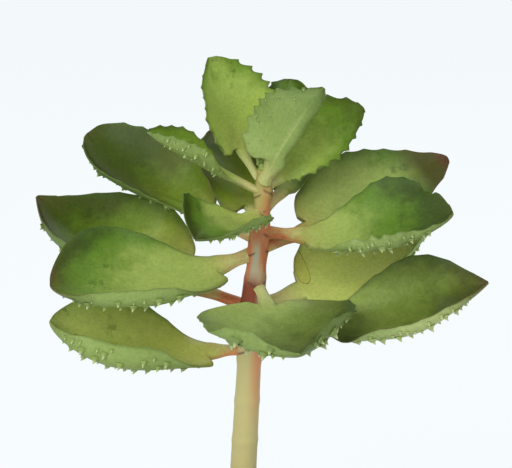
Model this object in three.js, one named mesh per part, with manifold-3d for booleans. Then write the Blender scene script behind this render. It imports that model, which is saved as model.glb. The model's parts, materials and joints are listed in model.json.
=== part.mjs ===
// A potted leaf succulent: a tall bare stem with large stalked, spoon-shaped leaves whose undersides carry
// blunt soft teeth, planted in soil in a plain clay pot.
// Millimetres, +Z up. The origin is the middle of the pot's underside, on the table.
// Azimuth 0 points along +X and 90 along +Y. The viewer stands at -Y.

import * as THREE from 'three';
import { mergeVertices } from 'three/addons/utils/BufferGeometryUtils.js';
import Module from 'manifold-3d';

const wasm = await Module();
wasm.setup();

// Clearance kept between pieces that touch
const GAP = 0.3;

// Clay pot
const POT = {
  height: 106,
  baseRadius: 47,
  rimRadius: 68,
  rimBand: 26,
  rimStep: 5.5,
  wall: 6,
  floor: 8,
  edge: 1.5,
  sides: 40,
};
const DRAIN = { count: 3, radius: 5, ring: 24, sides: 12 };

// Soil
const SOIL = {
  top: 94,
  mound: 3,
  moundRadius: 22,
  lumps: 1.1,
  lumpLengths: [6.1, 5.3, 3.3, 4.1],
  fineLumps: 0.6,
  sides: 32,
  rings: [0, 10, 20, 30, 40, 50, 58],
};

// Stem: centre line as [x, y, z] and radius as [z, radius]
const STEM_LINE = [
  [0, 0, 60], [0.5, 0, 108], [2, 0, 142], [6, 0, 217],
  [8, 0, 250], [11, 0, 280], [13.5, 0, 305], [14.5, 0, 327],
];
const STEM_RADII = [
  [60, 8.6], [108, 8.4], [142, 8.1], [217, 7.2], [254, 7.0], [268, 5.9], [280, 5.6], [305, 4.8], [327, 4.2],
];
const STEM_SIDES = 14;
const STEM_STEP = 7.5;
const JOINT_PAD = { depth: 1.1, below: 2, spread: 6, angle: 0.5 };
const NODE_RING = { depth: 0.35, spacing: 26, spread: 3 };

// Leaves: shares of thickness and the drawn grid
const STALK = {
  half: 4.2,
  depth: 6.4,
  root: 1.0,
  waist: 0.82,
  shoulder: 1.5,
  narrowBy: 0.5,
  widenFrom: 0.45,
  fade: 0.15,
  round: 0.95,
  bladeBy: 0.2,
  taper: 0.9,
};
const BLADE = { margin: 1.0, body: 2.2, rib: 2.2, ribWidth: 7 };
const LOBE = { sides: [5, 13], fade: [0.03, 0.3] };
const FOLD = { start: 0.35, from: [0, 0.3] };
const CURL = { tip: [0.75, 1], tipLoss: 0.4 };
const WAVE = { turns: 2, phase: [0.15, 0.6] };
const TOOTH = { from: 0.82, leastWidth: 0.2 };
const STALK_ROWS = 3;
const BLADE_ENDS = [0.02, 0.985];
const STRONG_CURL = 30;
const PLAIN_COLUMNS = [0.5, 1];
const CURLED_COLUMNS = [0.4, 0.62, 0.82, 1];
const SECTION_STEPS = 24;

// Soft teeth on the undersides
const WART = {
  radius: 1.9,
  height: 3.3,
  root: 1.0,
  lean: 0.8,
  sides: 4,
  inner: 0.42,
  outer: 0.86,
  sizes: [0.75, 1.1],
  clearRows: [3, 4],
  jitter: [0.3, 0.4],
  turn: 0.618,
  stray: 0.2,
};

// Each leaf leaves the stem at a height and azimuth, and its tip lies reach out and rise up from there.
// Pairs are [left, right] as seen along the leaf from the stem, and triples are [base, middle, tip].
//   start         how far from the stem's middle it begins, as a share of the stem's radius
//   bow, sweep    how far the midrib bends up and sideways at one and two thirds of its length
//   half, belly   widest half width, and how far along the blade it lies
//   full, blunt   how square the outline is at its base and at its tip
//   left, right   angle of each side above the midrib's plane
//   curl, lip     further angle that the margin curls up by, and the share of the side where that starts
//   curlFrom      where along the blade the curl starts and is full
//   roll          turn about the midrib at base and tip, left side up
//   back          how far the lobes at the blade's base reach back
//   flesh         share of the full thickness
//   warts         soft teeth under each side, and wartSize their size as a share of the plain one
const LEAF_DEFAULTS = {
  start: 0.7, bow: [0, 0], sweep: [0, 0], petiole: 24, stalk: 1, half: [33, 33], belly: [0.45, 0.45],
  full: [0.75, 0.75], blunt: [0.62, 0.62], left: [35, 35, 25], right: [35, 35, 25], roll: [0, 0],
  curl: [0, 0], curlFrom: [0.02, 0.4], lip: 0.5, back: [4, 4], flesh: 1, teeth: 1.2, toothCount: 8, wave: 1,
  warts: [0, 0], wartSize: 1, notch: null,
};
const LEAVES = {
  leaf_lower_left: {
    height: 217, azimuth: 189.5, reach: 121, rise: 22, petiole: 25,
    bow: [-8, -16], roll: [-30, -30], half: [38, 33], belly: [0.54, 0.62], full: [0.8, 0.8],
    left: [20, 25, 20], right: [30, 30, 20], curl: [132, 0], lip: 0.46,
    back: [7, 0], teeth: 0.6, warts: [16, 0],
  },
  leaf_front: {
    height: 261, azimuth: -74, reach: 93, rise: -19, start: 0.35, petiole: 27, stalk: 0.9,
    bow: [-6, -22], sweep: [4, 3], roll: [0, 6],
    half: [44, 47], belly: [0.3, 0.33], full: [0.4, 0.3], blunt: [1, 1],
    left: [30, 25, 20], right: [10, 22, 20], curl: [85, 85], curlFrom: [0.42, 0.8],
    back: [4, 7], warts: [9, 9], wartSize: 1.3,
  },
  leaf_lower_right: {
    height: 234, azimuth: -12, reach: 142, rise: 32, petiole: 44, bow: [-8, -12], roll: [38, 38],
    half: [30, 35], belly: [0.59, 0.44], full: [0.9, 1.1], blunt: [1, 1],
    left: [20, 25, 20], right: [20, 20, 20], curl: [0, 90],
    back: [0, 0], teeth: 0.6, warts: [0, 14],
  },
  leaf_mid_left_back: {
    height: 243, azimuth: 162, reach: 141, rise: 57, petiole: 44,
    bow: [-6, -14], roll: [-30, -30],
    half: [36, 37], belly: [0.6, 0.34], full: [0.6, 0.42], blunt: [1, 0.9], curl: [60, 0],
    back: [0, -4], teeth: 0.6, warts: [9, 0],
  },
  leaf_mid_right_back: {
    height: 244, azimuth: 24, reach: 125, rise: 43, petiole: 33, bow: [-10, -8], roll: [40, 30],
    half: [38, 29], belly: [0.44, 0.4], full: [0.7, 0.6], curl: [0, 60],
    back: [0, 0], warts: [0, 9],
  },
  leaf_mid_left_front: {
    height: 279, azimuth: 197, reach: 127, rise: -13, petiole: 28, stalk: 1.15,
    bow: [-10, -4], roll: [-35, -35], half: [37, 34], belly: [0.5, 0.66], full: [0.85, 0.7],
    left: [15, 20, 15], right: [30, 30, 20], curl: [110, 0],
    back: [8, 0], teeth: 0.6, warts: [16, 0],
  },
  leaf_upper_right_back: {
    height: 280, azimuth: 17, reach: 121, rise: 47, petiole: 34, bow: [-4, -8], roll: [35, 30],
    half: [33, 30], belly: [0.36, 0.45], full: [0.6, 0.7], blunt: [0.75, 0.62],
  },
  leaf_upper_right_front: {
    height: 291, azimuth: -15, reach: 116, rise: 17, petiole: 28, bow: [-8, -10], roll: [38, 38],
    half: [32, 24], belly: [0.6, 0.48], full: [0.8, 0.9],
    left: [20, 25, 20], right: [20, 20, 20], curl: [0, 120],
    back: [0, 0], wave: 1.6, warts: [0, 12],
    notch: { side: 0, at: 0.85, width: 0.035, depth: 8 },
  },
  leaf_upper_left_back: {
    height: 286, azimuth: 155, reach: 117, rise: 53, petiole: 36,
    bow: [-6, -12], roll: [-35, -35],
    half: [23, 31], belly: [0.66, 0.45], full: [0.8, 0.6], blunt: [0.62, 0.4], curl: [50, 0],
    back: [0, 0], warts: [8, 0],
  },
  leaf_back_left: {
    height: 296, azimuth: 121, reach: 56, rise: 46, petiole: 13, stalk: 0.85,
    half: [30, 17], belly: [0.42, 0.42], full: [0.6, 0.6], blunt: [0.8, 1.3],
  },
  leaf_upper_front_left: {
    height: 305, azimuth: -121, reach: 74, rise: -4, petiole: 12, stalk: 0.85,
    bow: [-2, 4], roll: [-8, -16], half: [25, 26], belly: [0.45, 0.7], full: [0.75, 1],
    left: [20, 20, 20], right: [30, 45, 65], curl: [60, 0], warts: [8, 0],
  },
  leaf_back_right: {
    height: 303, azimuth: 57, reach: 80, rise: 30, stalk: 0.8, half: [14, 15],
  },
  leaf_crown_left: {
    height: 315, azimuth: 200, reach: 71, rise: 40, petiole: 24, stalk: 0.75, roll: [-15, -15],
    half: [15, 14], belly: [0.6, 0.6], full: [1, 1],
    left: [40, 40, 30], right: [60, 60, 45], curl: [80, 0], warts: [9, 0], wartSize: 0.6,
  },
  leaf_crown_right: {
    height: 315, azimuth: 18, reach: 63, rise: 46, petiole: 14, stalk: 0.75, roll: [60, 55],
    half: [24, 15], belly: [0.6, 0.5], left: [20, 20, 20], right: [20, 20, 20], teeth: 3.2,
  },
  leaf_crown_front: {
    height: 318, azimuth: -36, reach: 42, rise: 63, petiole: 20, stalk: 0.9,
    bow: [0, 1], sweep: [-4, -3], roll: [-70, -70],
    half: [6, 27], belly: [0.75, 0.36], full: [0.75, 0.5], blunt: [0.62, 1.1],
    left: [75, 75, 60], right: [20, 20, 20],
    back: [0, 5], teeth: 3.2, toothCount: 9, warts: [0, 7], wartSize: 0.5,
  },
  leaf_crown_back_left: {
    height: 320, azimuth: 149, reach: 38, rise: 71, petiole: 24, stalk: 0.7,
    bow: [-7, -3], roll: [-15, -15],
    half: [25, 33], belly: [0.38, 0.48], full: [0.85, 0.7], blunt: [0.95, 0.5],
    left: [30, 30, 20], right: [30, 30, 20], teeth: 3.4, toothCount: 9,
  },
  leaf_crown_back: {
    height: 323, azimuth: 68, reach: 45, rise: 51, petiole: 20, stalk: 0.45, bow: [-10, -9],
    half: [23, 21], belly: [0.55, 0.6], blunt: [0.45, 0.45],
    back: [0, 0], flesh: 0.8, teeth: 3.4,
  },
};

// Growing tip: two pairs of small folded leaves on a low dome
const TIP = {
  pairs: [
    { azimuth: 57, reach: 4.5, rise: 12, half: 4.5 },
    { azimuth: 147, reach: 3, rise: 8, half: 3.2 },
  ],
  leaf: {
    start: 0, petiole: 1.5, stalk: 0.5, back: [0, 0], flesh: 0.3, toothCount: 3, teeth: 0.4, wave: 0,
    left: [40, 35, 20], right: [40, 35, 20],
  },
  dome: 3.6,
  domeSides: 12,
  domeSteps: 4,
};

// Number helpers
const clamp = (x) => Math.min(1, Math.max(0, x));
const lerp = (a, b, x) => a + (b - a) * x;
const radians = THREE.MathUtils.degToRad;

function smooth(from, to, x) {
  const s = clamp((x - from) / (to - from));
  return s * s * (3 - 2 * s);
}

// The parabola through a base, a middle and a tip value
function parabola([base, middle, tip], x) {
  return base * (1 - x) * (1 - 2 * x) + middle * 4 * x * (1 - x) + tip * x * (2 * x - 1);
}

// Straight lines through rows of numbers, looked up by one column
function lookUp(rows, key, column, x) {
  const next = rows.findIndex((row) => row[key] > x);
  if (next === 0) return rows[0][column];
  if (next < 0) return rows[rows.length - 1][column];
  const [low, high] = [rows[next - 1], rows[next]];
  return lerp(low[column], high[column], (x - low[key]) / (high[key] - low[key]));
}

// Seeded random numbers from 0 to 1
const SEEDED = { factor: 1664525, step: 1013904223, span: 2 ** 32 };

function seeded(seed) {
  let state = seed;
  return () => {
    state = (state * SEEDED.factor + SEEDED.step) % SEEDED.span;
    return state / SEEDED.span;
  };
}

// Solids
function solidFrom(geometry) {
  geometry.deleteAttribute('normal');
  geometry.deleteAttribute('uv');
  const merged = mergeVertices(geometry, 1e-4);
  const vertProperties = new Float32Array(merged.attributes.position.array);
  const triVerts = new Uint32Array(merged.index.array);
  return new wasm.Manifold(new wasm.Mesh({ numProp: 3, vertProperties, triVerts }));
}

function geometryFrom(solid) {
  const mesh = solid.getMesh();
  const geometry = new THREE.BufferGeometry();
  geometry.setAttribute('position', new THREE.BufferAttribute(new Float32Array(mesh.vertProperties), 3));
  geometry.setIndex(new THREE.BufferAttribute(new Uint32Array(mesh.triVerts), 1));
  geometry.computeVertexNormals();
  return geometry;
}

function indexedGeometry(points, triangles) {
  const geometry = new THREE.BufferGeometry();
  geometry.setAttribute('position', new THREE.Float32BufferAttribute(points.flatMap((p) => p.toArray()), 3));
  geometry.setIndex(triangles.flat());
  return geometry;
}

// A body turned about Z from [radius, height] points that start and end on the axis
function turned(profile, sides) {
  const geometry = new THREE.LatheGeometry(profile.map(([r, z]) => new THREE.Vector2(r, z)), sides);
  geometry.rotateX(Math.PI / 2);
  return geometry;
}

// Pot
const potLedge = POT.height - POT.rimBand;
const potWallRadius = (z) => lerp(POT.baseRadius, POT.rimRadius - POT.rimStep, z / potLedge);

function potSolid() {
  const top = POT.height;
  const edge = POT.edge;
  const outside = [
    [0, 0], [POT.baseRadius - edge, 0], [POT.baseRadius, edge], [potWallRadius(potLedge), potLedge],
    [POT.rimRadius - 2 * edge, potLedge], [POT.rimRadius - edge, potLedge + edge],
    [POT.rimRadius, top - 2 * edge], [POT.rimRadius - edge, top - edge / 3], [POT.rimRadius - 2 * edge, top],
  ];
  const inside = [
    [POT.rimRadius - POT.wall + edge, top], [POT.rimRadius - POT.wall, top - edge],
    [POT.rimRadius - POT.wall - edge, potLedge + POT.wall], [potWallRadius(potLedge) - POT.wall, potLedge],
    [potWallRadius(POT.floor) - POT.wall + edge, POT.floor + 2 * edge],
    [potWallRadius(POT.floor) - POT.wall - edge, POT.floor], [0, POT.floor],
  ];
  let pot = solidFrom(turned([...outside, ...inside], POT.sides));
  for (let k = 0; k < DRAIN.count; k += 1) {
    const angle = (2 * Math.PI * k) / DRAIN.count;
    const hole = new THREE.CylinderGeometry(DRAIN.radius, DRAIN.radius, 3 * POT.floor, DRAIN.sides);
    hole.rotateX(Math.PI / 2);
    hole.translate(DRAIN.ring * Math.cos(angle), DRAIN.ring * Math.sin(angle), 0);
    pot = pot.subtract(solidFrom(hole));
  }
  return pot;
}

// Stem
function stemCentre(z) {
  return new THREE.Vector3(lookUp(STEM_LINE, 2, 0, z), lookUp(STEM_LINE, 2, 1, z), z);
}

// The stem swells under each leaf stalk and, less, at old nodes
function stemRadius(z, angle) {
  let radius = lookUp(STEM_RADII, 0, 1, z);
  for (const leaf of Object.values(LEAVES)) {
    const away = angle - radians(leaf.azimuth);
    const turn = Math.atan2(Math.sin(away), Math.cos(away));
    const below = (z - leaf.height + JOINT_PAD.below) / JOINT_PAD.spread;
    const near = below ** 2 + (turn / JOINT_PAD.angle) ** 2;
    radius += JOINT_PAD.depth * Math.exp(-near);
  }
  const fromNode = Math.abs(((z + NODE_RING.spacing / 2) % NODE_RING.spacing) - NODE_RING.spacing / 2);
  return radius + NODE_RING.depth * Math.exp(-((fromNode / NODE_RING.spread) ** 2));
}

function stemSolid(clearance) {
  const bottom = STEM_LINE[0][2] - clearance;
  const top = STEM_LINE[STEM_LINE.length - 1][2] + clearance;
  const rows = Math.round((top - bottom) / STEM_STEP);
  const points = [];
  const triangles = [];
  for (let i = 0; i <= rows; i += 1) {
    const z = lerp(bottom, top, i / rows);
    const centre = stemCentre(z);
    for (let k = 0; k < STEM_SIDES; k += 1) {
      const angle = (2 * Math.PI * k) / STEM_SIDES;
      const radius = stemRadius(z, angle) + clearance;
      points.push(new THREE.Vector3(radius * Math.cos(angle), radius * Math.sin(angle), 0).add(centre));
    }
  }
  for (let i = 0; i < rows; i += 1) {
    for (let k = 0; k < STEM_SIDES; k += 1) {
      const [a, b] = [i * STEM_SIDES + k, i * STEM_SIDES + ((k + 1) % STEM_SIDES)];
      triangles.push([a, b, b + STEM_SIDES], [a, b + STEM_SIDES, a + STEM_SIDES]);
    }
  }
  const last = rows * STEM_SIDES;
  for (let k = 1; k < STEM_SIDES - 1; k += 1) {
    triangles.push([0, k + 1, k], [last, last + k, last + k + 1]);
  }
  return solidFrom(indexedGeometry(points, triangles));
}

// Soil, heaped slightly round the stem and lumpy on top
function soilTop(x, y) {
  const mound = SOIL.mound * Math.exp(-((Math.hypot(x, y) / SOIL.moundRadius) ** 2));
  const [broadX, broadY, fineX, fineY] = SOIL.lumpLengths;
  const broad = Math.sin(x / broadX + 1) * Math.cos(y / broadY);
  const fine = SOIL.fineLumps * Math.sin(x / fineX - y / fineY);
  return SOIL.top + mound + SOIL.lumps * (broad + fine);
}

function soilSolid() {
  const ledgeRadius = potWallRadius(potLedge) - POT.wall - GAP;
  const sideRadius = POT.rimRadius - POT.wall - POT.edge - GAP;
  const side = [
    [0, POT.floor + GAP], [potWallRadius(POT.floor) - POT.wall - POT.edge - GAP, POT.floor + GAP],
    [potWallRadius(POT.floor) - POT.wall + POT.edge - 2 * GAP, POT.floor + 2 * POT.edge + GAP],
    [ledgeRadius, potLedge + GAP], [sideRadius, potLedge + POT.wall + GAP], [sideRadius, SOIL.top],
  ];
  const rings = SOIL.rings.map((r) => [r, SOIL.top]).reverse();
  const geometry = turned([...side, ...rings], SOIL.sides);
  const spots = geometry.attributes.position;
  for (let i = 0; i < spots.count; i += 1) {
    if (spots.getZ(i) > SOIL.top - 1e-3) spots.setZ(i, soilTop(spots.getX(i), spots.getY(i)));
  }
  return solidFrom(geometry).subtract(stemSolid(GAP));
}

// Leaves
// Frame of the leaf at share t of its midrib: centre, unit vectors along it, to its left and up from it
function leafFrame(leaf, t) {
  const azimuth = radians(leaf.azimuth);
  const out = new THREE.Vector3(Math.cos(azimuth), Math.sin(azimuth), 0);
  const left = new THREE.Vector3(-Math.sin(azimuth), Math.cos(azimuth), 0);
  const chord = out.clone().multiplyScalar(leaf.reach).add(new THREE.Vector3(0, 0, leaf.rise));
  const length = chord.length();
  const across = new THREE.Vector3().crossVectors(chord, left).normalize();
  const start = stemCentre(leaf.height);
  const at = (share, k) => start.clone().addScaledVector(chord, share)
    .addScaledVector(across, leaf.bow[k]).addScaledVector(left, leaf.sweep[k]);
  const midrib = new THREE.CubicBezierCurve3(start, at(1 / 3, 0), at(2 / 3, 1), start.clone().add(chord));
  const along = midrib.getTangent(t);
  const side = left.addScaledVector(along, -left.dot(along)).normalize();
  const up = new THREE.Vector3().crossVectors(along, side);
  const u = clamp((t - leaf.petiole / length) / (1 - leaf.petiole / length));
  const roll = radians(lerp(leaf.roll[0], leaf.roll[1], smooth(0, 1, u)));
  side.applyAxisAngle(along, roll);
  up.applyAxisAngle(along, roll);
  return { centre: midrib.getPoint(t), along, side, up, u, stalkShare: leaf.petiole / length };
}

// Share of the widest half width at u along the blade, for the left or right side
function outline(leaf, k, u) {
  if (u <= 0 || u >= 1) return 0;
  const power = Math.log(0.5) / Math.log(leaf.belly[k]);
  return Math.sin(Math.PI * u ** power) ** lerp(leaf.full[k], leaf.blunt[k], smooth(0.5, 1, u));
}

// Angle of the section at share a from the midrib to the margin
function sectionAngle(leaf, k, u, a) {
  const fold = parabola(k === 0 ? leaf.left : leaf.right, u) * smooth(...FOLD.from, u);
  const spread = FOLD.start * smooth(...FOLD.from, a) + (1 - FOLD.start) * a;
  const curl = leaf.curl[k] * smooth(...leaf.curlFrom, u) * (1 - CURL.tipLoss * smooth(...CURL.tip, u));
  return radians(fold * spread + curl * clamp((a - leaf.lip) / (1 - leaf.lip)));
}

// Where the section reaches at share a, for a half width of 1
function sectionPoint(leaf, k, u, a) {
  let [x, y] = [0, 0];
  for (let i = 0; i < SECTION_STEPS; i += 1) {
    const angle = sectionAngle(leaf, k, u, (a * (i + 0.5)) / SECTION_STEPS);
    x += (Math.cos(angle) * a) / SECTION_STEPS;
    y += (Math.sin(angle) * a) / SECTION_STEPS;
  }
  return [x, y];
}

// How far the margin is bitten in between its teeth, and at the one torn notch
function bite(leaf, k, u, a) {
  const tooth = Math.abs(Math.cos(Math.PI * (u * leaf.toothCount + 0.5 * k))) * leaf.teeth;
  const torn = leaf.notch && leaf.notch.side === k ? leaf.notch : { at: 0, width: 1, depth: 0 };
  const notch = torn.depth * Math.exp(-(((u - torn.at) / torn.width) ** 2));
  return outline(leaf, k, u) > TOOTH.leastWidth ? (tooth + notch) * smooth(TOOTH.from, 1, a) : 0;
}

function thickness(leaf, u, a, halfWidth) {
  const stalk = STALK.depth * leaf.stalk * Math.sqrt(1 - STALK.round * a * a);
  const rib = BLADE.rib * (1 - u) * Math.exp(-(((a * halfWidth) / BLADE.ribWidth) ** 2));
  const blade = BLADE.margin + leaf.flesh * (BLADE.body * (1 - a * a) * (1 - u ** 4) + rib);
  return lerp(stalk, blade, smooth(0, STALK.bladeBy, u));
}

// The stalk is wide at the stem, narrow in its middle and widest where it turns into the blade
function stalkHalf(leaf, stalkShare, t, u) {
  const narrow = lerp(STALK.root, STALK.waist, smooth(0, STALK.narrowBy * stalkShare, t));
  const widen = smooth(STALK.widenFrom * stalkShare, stalkShare, t) * (1 - smooth(0, STALK.fade, u));
  return STALK.half * leaf.stalk * (narrow + (STALK.shoulder - STALK.waist) * widen);
}

// How far the stalk's round upper side falls from its middle to its edges
function stalkFall(leaf, u, a) {
  const fall = (STALK.depth * leaf.stalk * (1 - Math.sqrt(1 - STALK.round * a * a))) / 2;
  return fall * (1 - smooth(0, STALK.bladeBy, u));
}

// The upper and lower surface at share t along the leaf and share a out to the left (k 0) or right (k 1)
function leafPoint(leaf, t, k, a) {
  const { centre, along, side, up, u, stalkShare } = leafFrame(leaf, t);
  const outward = k === 0 ? 1 : -1;
  const shape = outline(leaf, k, u);
  const halfWidth = stalkHalf(leaf, stalkShare, t, u) * (1 - STALK.taper * u) + leaf.half[k] * shape;
  const angle = sectionAngle(leaf, k, u, a);
  const waveAngle = 2 * Math.PI * (WAVE.turns * u + WAVE.phase[k]);
  const wave = leaf.wave * Math.sin(waveAngle) * a * a * Math.sin(Math.PI * u);
  const inward = bite(leaf, k, u, a);
  const [x, y] = sectionPoint(leaf, k, u, a);
  const reach = x * halfWidth - inward * Math.cos(angle) - wave * Math.sin(angle);
  const fall = stalkFall(leaf, u, a);
  const lift = y * halfWidth - inward * Math.sin(angle) + wave * Math.cos(angle) - fall;
  const onBlade = u > 0 ? 1 - smooth(...LOBE.fade, u) : 0;
  const lobe = leaf.back[k] * smooth(...LOBE.sides, a * halfWidth) * onBlade;
  const top = centre.clone().addScaledVector(side, outward * reach).addScaledVector(up, lift)
    .addScaledVector(along, -lobe);
  const lean = angle * smooth(...FOLD.from, a);
  const down = side.clone().multiplyScalar(outward * Math.sin(lean)).addScaledVector(up, -Math.cos(lean));
  return { top, under: top.clone().addScaledVector(down, thickness(leaf, u, a, halfWidth)) };
}

// Shares t of the rows: a few along the stalk, then one at each tooth's tip and root
function leafRows(leaf) {
  const length = Math.hypot(leaf.reach, leaf.rise);
  const stalkShare = leaf.petiole / length;
  const stemShare = (leaf.start * lookUp(STEM_RADII, 0, 1, leaf.height)) / length;
  const rows = [];
  for (let i = 0; i <= STALK_ROWS; i += 1) rows.push(lerp(stemShare, stalkShare, i / STALK_ROWS));
  const blade = [BLADE_ENDS[0]];
  for (let i = 1; i < 2 * leaf.toothCount; i += 1) blade.push(i / (2 * leaf.toothCount));
  blade.push(BLADE_ENDS[1], 1);
  return [...rows, ...blade.map((u) => lerp(stalkShare, 1, u))];
}

function columns(leaf, k) {
  return leaf.curl[k] > STRONG_CURL ? CURLED_COLUMNS : PLAIN_COLUMNS;
}

// Rows of top and under points from the left margin to the right one
function leafGrid(leaf) {
  const left = columns(leaf, 0).map((a) => [0, a]).reverse();
  const right = columns(leaf, 1).map((a) => [1, a]);
  const across = [...left, [0, 0], ...right];
  return leafRows(leaf).map((t) => across.map(([k, a]) => ({ ...leafPoint(leaf, t, k, a), k, a })));
}

function gridSolid(grid) {
  const wide = grid[0].length;
  const points = ['top', 'under'].flatMap((face) => grid.flatMap((row) => row.map((p) => p[face])));
  const under = grid.length * wide;
  const triangles = [];
  for (let i = 0; i < grid.length - 1; i += 1) {
    for (let j = 0; j < wide - 1; j += 1) {
      const [a, b, c, d] = [i * wide + j, (i + 1) * wide + j, (i + 1) * wide + j + 1, i * wide + j + 1];
      triangles.push([a, c, b], [a, d, c]);
      triangles.push([under + a, under + b, under + c], [under + a, under + c, under + d]);
    }
    for (const [j, flip] of [[0, false], [wide - 1, true]]) {
      const [a, b] = [i * wide + j, (i + 1) * wide + j];
      const edge = [[a, b, under + b], [a, under + b, under + a]];
      triangles.push(...(flip ? edge.map((t) => t.reverse()) : edge));
    }
  }
  const last = (grid.length - 1) * wide;
  for (let j = 0; j < wide - 1; j += 1) {
    const [a, b] = [last + j, last + j + 1];
    triangles.push([j, under + j + 1, j + 1], [j, under + j, under + j + 1]);
    triangles.push([a, b, under + b], [a, under + b, under + a]);
  }
  return solidFrom(indexedGeometry(points, triangles));
}

// A small pyramid that leans out of the underside, with its root sunk in the blade
function wartSolid(foot, outward, size) {
  const geometry = new THREE.ConeGeometry(WART.radius * size, WART.height * size + WART.root, WART.sides);
  geometry.translate(0, (WART.height * size - WART.root) / 2, 0);
  geometry.applyQuaternion(new THREE.Quaternion().setFromUnitVectors(new THREE.Vector3(0, 1, 0), outward));
  geometry.translate(foot.x, foot.y, foot.z);
  return solidFrom(geometry);
}

function wartSolids(leaf, grid, seed) {
  const random = seeded(seed);
  const warts = [];
  const first = STALK_ROWS + WART.clearRows[0];
  const usable = grid.length - first - WART.clearRows[1];
  leaf.warts.forEach((count, k) => {
    for (let n = 0; n < count; n += 1) {
      const along = first + (usable * (n + WART.jitter[0] + WART.jitter[1] * random())) / count;
      const row = Math.floor(along);
      const a = lerp(WART.inner, WART.outer, (n * WART.turn + WART.stray * random()) % 1);
      const spots = grid[row].map((p, j) => ({ ...p, j })).filter((p) => p.k === k && p.a > 0);
      const ordered = k === 0 ? spots.reverse() : spots;
      const outer = ordered.findIndex((p) => p.a >= a);
      const far = ordered[outer];
      const near = outer > 0 ? ordered[outer - 1] : { j: far.j + (k === 0 ? 1 : -1), a: 0 };
      const share = (a - near.a) / (far.a - near.a);
      const mix = (key) => {
        const ends = [row, row + 1].map((i) => grid[i][near.j][key].clone().lerp(grid[i][far.j][key], share));
        return ends[0].lerp(ends[1], along - row);
      };
      const foot = mix('under');
      const outward = foot.clone().sub(mix('top')).normalize();
      const edgeward = grid[row][far.j].under.clone().sub(grid[row][near.j].under).normalize();
      outward.addScaledVector(edgeward, -WART.lean * smooth(leaf.lip, 1, a)).normalize();
      warts.push(wartSolid(foot, outward, lerp(...WART.sizes, random()) * leaf.wartSize));
    }
  });
  return warts;
}

function leafSolid(leaf, seed) {
  const grid = leafGrid(leaf);
  const blade = gridSolid(grid);
  return wartSolids(leaf, grid, seed).reduce((solid, wart) => solid.add(wart), blade);
}

function growingTipSolid() {
  const seat = STEM_LINE[STEM_LINE.length - 1][2] + GAP;
  const arc = [...Array(TIP.domeSteps + 1).keys()].map((i) => (Math.PI / 2) * (i / TIP.domeSteps));
  const profile = arc.map((lift) => [TIP.dome * Math.cos(lift), TIP.dome * Math.sin(lift)]);
  const dome = turned([[0, 0], ...profile.slice(0, -1), [0, TIP.dome]], TIP.domeSides);
  dome.translate(...stemCentre(seat).toArray());
  let tip = solidFrom(dome);
  for (const { half, azimuth, ...shape } of TIP.pairs) {
    for (const turn of [0, 180]) {
      const place = { height: seat + TIP.leaf.petiole, azimuth: azimuth + turn, half: [half, half] };
      tip = tip.add(gridSolid(leafGrid({ ...LEAF_DEFAULTS, ...TIP.leaf, ...shape, ...place })));
    }
  }
  return tip;
}

// Materials
const COLOURS = {
  pot: 0xb9724a, soil: 0x3d2f25, stem: 0xa3866a, growing_tip: 0x9db65a,
  oldLeaf: 0x7c8a45, greenLeaf: 0x75913f, crownLeaf: 0x86a352,
};

function material(colour, roughness) {
  return new THREE.MeshStandardMaterial({ color: colour, roughness, metalness: 0 });
}

// The whole plant
const plant = new THREE.Group();

function place(name, solid, colour, roughness) {
  const mesh = new THREE.Mesh(geometryFrom(solid), material(colour, roughness));
  mesh.name = name;
  plant.add(mesh);
}

place('pot', potSolid(), COLOURS.pot, 0.9);
place('soil', soilSolid(), COLOURS.soil, 1);
place('stem', stemSolid(0), COLOURS.stem, 0.6);
place('growing_tip', growingTipSolid(), COLOURS.growing_tip, 0.5);

const stemRoom = stemSolid(GAP);
Object.entries(LEAVES).forEach(([name, shape], index) => {
  const leaf = { ...LEAF_DEFAULTS, ...shape };
  const young = name.includes('crown');
  const old = name.includes('lower') || name.includes('front');
  const colour = young ? COLOURS.crownLeaf : old ? COLOURS.oldLeaf : COLOURS.greenLeaf;
  place(name, leafSolid(leaf, index + 1).subtract(stemRoom), colour, 0.5);
});

export default plant;
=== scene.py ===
import json
import math

import bmesh
import bpy
import numpy as np
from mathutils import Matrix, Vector


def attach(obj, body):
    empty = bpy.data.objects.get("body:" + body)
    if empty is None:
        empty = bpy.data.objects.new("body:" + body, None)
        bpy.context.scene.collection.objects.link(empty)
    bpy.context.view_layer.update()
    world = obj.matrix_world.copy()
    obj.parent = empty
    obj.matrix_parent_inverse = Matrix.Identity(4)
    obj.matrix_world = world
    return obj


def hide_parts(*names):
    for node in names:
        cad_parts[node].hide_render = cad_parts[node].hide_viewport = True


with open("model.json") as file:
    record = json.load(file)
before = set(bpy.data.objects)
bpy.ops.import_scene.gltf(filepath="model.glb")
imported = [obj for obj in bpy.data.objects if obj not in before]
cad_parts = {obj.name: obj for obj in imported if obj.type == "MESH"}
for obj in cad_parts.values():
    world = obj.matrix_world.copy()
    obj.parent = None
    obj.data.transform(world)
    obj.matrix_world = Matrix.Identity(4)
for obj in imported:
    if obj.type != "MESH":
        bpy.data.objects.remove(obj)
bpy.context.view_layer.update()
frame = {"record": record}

MM = 0.001

# Clearance kept between pieces that touch
GAP = 0.3

# Radius at which a turned profile closes at its axis
AXIS = 0.01

# Clay pot
POT = dict(
    height=106, base=47, rim=68, band=26, step=5.5, wall=6, floor=8, edge=1.5, round=1.8, around=144,
)
POT_LEDGE = POT["height"] - POT["band"]
DRAIN = dict(count=3, radius=5, ring=24, around=32)

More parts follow.
